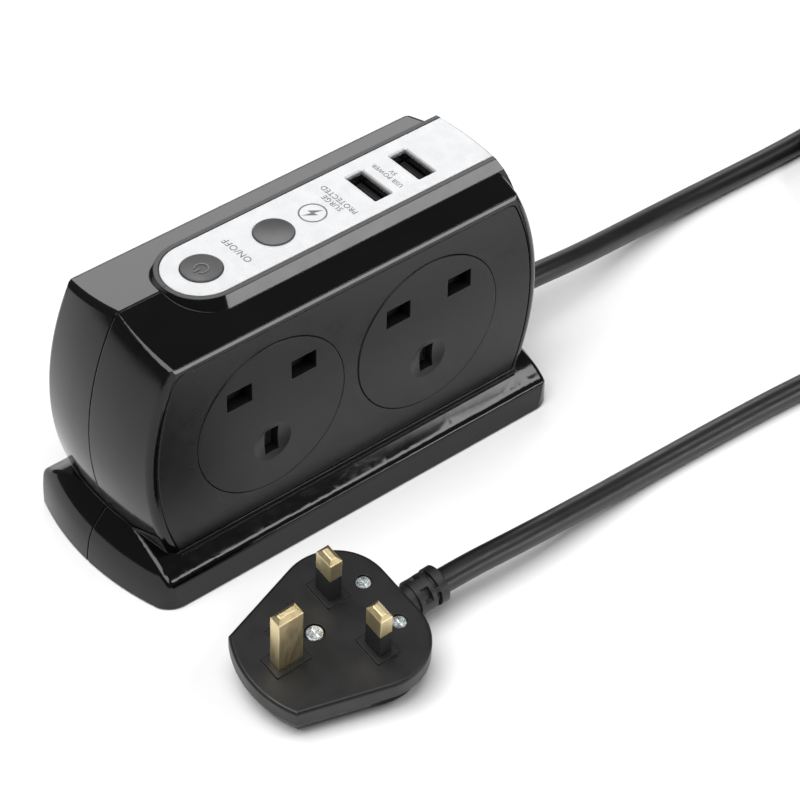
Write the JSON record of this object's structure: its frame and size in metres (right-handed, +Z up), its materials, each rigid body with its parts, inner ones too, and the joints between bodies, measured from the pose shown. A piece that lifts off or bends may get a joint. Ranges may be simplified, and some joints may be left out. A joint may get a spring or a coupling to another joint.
{
  "type": "power strip",
  "caption": "Upright two-sided power strip: mains sockets on each broad face, power button, surge light and USB outlets along the roof, flared plinth, cord with fused plug.",
  "frame": {"origin": "centre of the block's footprint, on the surface that it stands on", "axes": "+X along the block towards the cord, +Y across the block to its rear face, +Z up"},
  "size_m": [0.3777, 0.1321, 0.0852],
  "materials": {
    "casing_gloss": "black, polished",
    "panel_satin": "near black, satin",
    "socket_satin": "near black, satin",
    "shutter_grey": "dark grey, satin",
    "silver_panel": "pale silver paint, satin",
    "button_grey": "dark grey, satin",
    "lens_grey": "smoked, satin",
    "carrier_white": "off-white, moulded",
    "base_black": "black, lightly textured",
    "feet_rubber": "black, matt",
    "board_green": "green laminate",
    "component_blue": "blue coated discs",
    "component_dark": "dark sleeved cans",
    "transformer_yellow": "yellow taped winding",
    "lamp_glass": "clear neon envelope",
    "zinc_steel": "zinc plated",
    "spring_steel": "bright wire",
    "usb_steel": "bright stamped steel",
    "usb_insulator": "black, moulded",
    "gold_contacts": "gold flashed",
    "brass_bar": "rolled, satin",
    "pin_brass": "machined, polished",
    "sleeve_grey": "near black, satin",
    "cord_black": "black flexible sheath, satin",
    "boot_black": "black, satin",
    "plug_black": "near black, satin",
    "clamp_white": "off-white, moulded",
    "lead_brown": "brown insulation",
    "lead_blue": "blue insulation",
    "lead_earth": "green and yellow insulation",
    "fuse_ceramic": "glazed ceramic tube",
    "cap_metal": "plated end caps"
  },
  "bodies": {
    "block": {"base_plate": "base_black", "base_screws": "zinc_steel", "button_spring": "spring_steel", "charger_capacitors": "component_dark", "charger_transformer": "transformer_yellow", "clamp_screws": "zinc_steel", "control_panel": "silver_panel", "cord_block_run": "cord_black", "cord_clamp": "clamp_white", "cord_coil": "cord_black", "cord_gland": "boot_black", "cord_plug_run": "cord_black", "earth_busbar": "brass_bar", "earth_lead": "lead_earth", "earth_pin": "pin_brass", "front_casing": "casing_gloss", "front_contact_carrier": "carrier_white", "front_left_shutter_spring": "spring_steel", "front_left_socket_face": "socket_satin", "front_right_shutter_spring": "spring_steel", "front_right_socket_face": "socket_satin", "front_socket_panel": "panel_satin", "fuse_caps": "cap_metal", "left_usb_shell": "usb_steel", "live_busbar": "brass_bar", "live_lead": "lead_brown", "live_pin": "pin_brass", "neon_lamp": "lamp_glass", "neutral_busbar": "brass_bar", "neutral_lead": "lead_blue", "neutral_pin": "pin_brass", "pin_sleeves": "sleeve_grey", "plug_base": "plug_black", "plug_boot": "boot_black", "plug_cord_grip": "clamp_white", "plug_cover": "plug_black", "plug_cover_screw": "zinc_steel", "plug_fuse": "fuse_ceramic", "plug_grip_screws": "zinc_steel", "rear_casing": "casing_gloss", "rear_contact_carrier": "carrier_white", "rear_left_shutter_spring": "spring_steel", "rear_left_socket_face": "socket_satin", "rear_right_shutter_spring": "spring_steel", "rear_right_socket_face": "socket_satin", "rear_socket_panel": "panel_satin", "right_usb_shell": "usb_steel", "rubber_feet": "feet_rubber", "surge_board": "board_green", "surge_light_lens": "lens_grey", "switch_body": "usb_insulator", "usb_charger_board": "board_green", "usb_contacts": "gold_contacts", "usb_tongues": "usb_insulator", "varistors": "component_blue"},
    "power_button": {"power_button": "button_grey"},
    "front_left_shutter": {"front_left_shutter": "shutter_grey"},
    "front_right_shutter": {"front_right_shutter": "shutter_grey"},
    "rear_left_shutter": {"rear_left_shutter": "shutter_grey"},
    "rear_right_shutter": {"rear_right_shutter": "shutter_grey"}
  },
  "joints": [
    {"name": "power_button_press", "type": "slide", "parent": "block", "child": "power_button", "axis": [0, 0, -1], "range_m": [0, 0.0024], "stiffness_N_per_m": 600, "springref_m": -0.0008, "deforming": ["button_spring"]},
    {"name": "front_left_shutter_lift", "type": "slide", "parent": "block", "child": "front_left_shutter", "axis": [0, 0, 1], "range_m": [0, 0.0076], "stiffness_N_per_m": 150, "springref_m": -0.004, "deforming": ["front_left_shutter_spring"]},
    {"name": "front_right_shutter_lift", "type": "slide", "parent": "block", "child": "front_right_shutter", "axis": [0, 0, 1], "range_m": [0, 0.0076], "stiffness_N_per_m": 150, "springref_m": -0.004, "deforming": ["front_right_shutter_spring"]},
    {"name": "rear_left_shutter_lift", "type": "slide", "parent": "block", "child": "rear_left_shutter", "axis": [0, 0, 1], "range_m": [0, 0.0076], "stiffness_N_per_m": 150, "springref_m": -0.004, "deforming": ["rear_left_shutter_spring"]},
    {"name": "rear_right_shutter_lift", "type": "slide", "parent": "block", "child": "rear_right_shutter", "axis": [0, 0, 1], "range_m": [0, 0.0076], "stiffness_N_per_m": 150, "springref_m": -0.004, "deforming": ["rear_right_shutter_spring"]}
  ]
}
